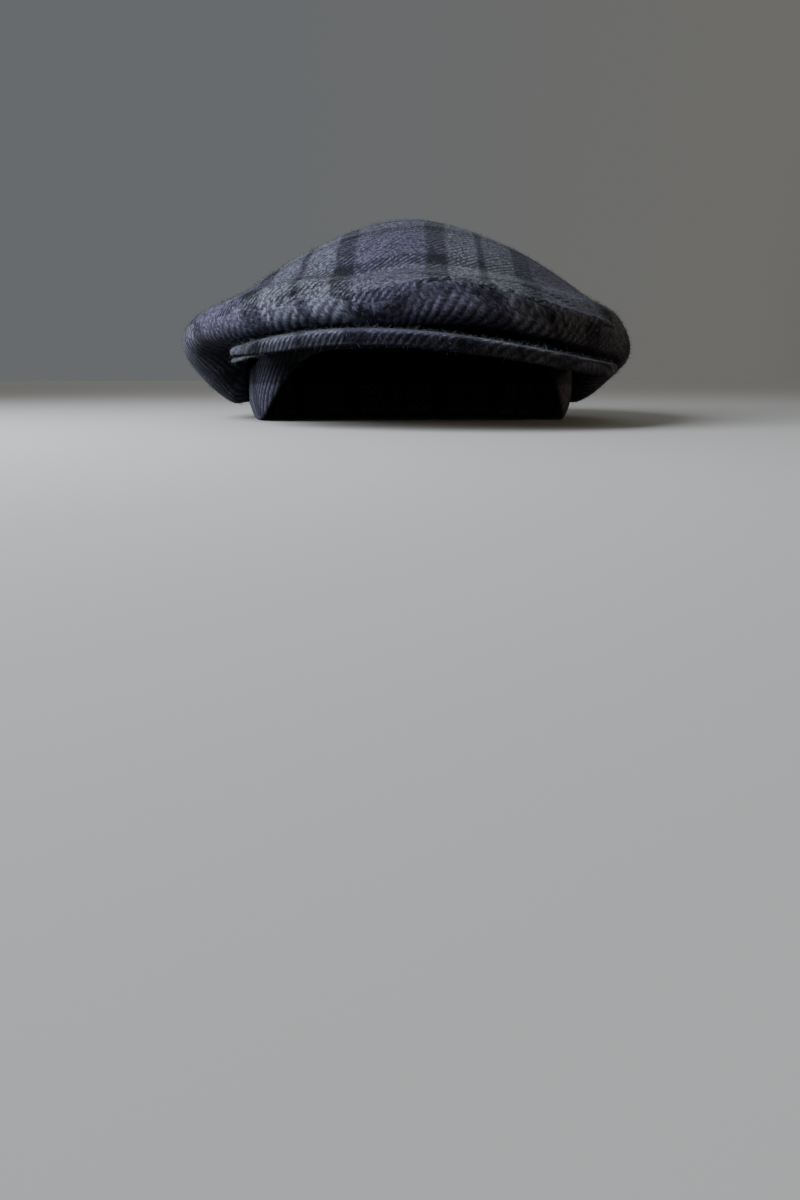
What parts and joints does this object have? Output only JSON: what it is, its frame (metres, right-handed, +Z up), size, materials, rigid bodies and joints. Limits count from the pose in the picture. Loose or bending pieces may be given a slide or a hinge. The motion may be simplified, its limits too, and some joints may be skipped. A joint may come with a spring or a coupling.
{
  "type": "flat cap",
  "caption": "Soft wool flat cap with a domed one-piece crown, a rolled front over a stiff curved peak, full sides and an open head hollow edged by a cloth band.",
  "frame": {"origin": "middle of the cap's outline seen from above, on the surface it rests on", "axes": "+Z up, -Y towards the peak, +X to the right for someone facing the peak"},
  "size_m": [0.2246, 0.2758, 0.097],
  "materials": {
    "crown_cloth": "heavy wool twill, muted purple and grey check",
    "band_cloth": "heavy wool twill, muted purple and grey check",
    "peak_cloth": "heavy wool twill stretched over a stiffener",
    "peak_under_cloth": "heavy wool twill, grey"
  },
  "bodies": {
    "root": {"crown": "crown_cloth", "band": "band_cloth", "peak_upper": "peak_cloth", "peak_under": "peak_under_cloth"}
  },
  "joints": []
}
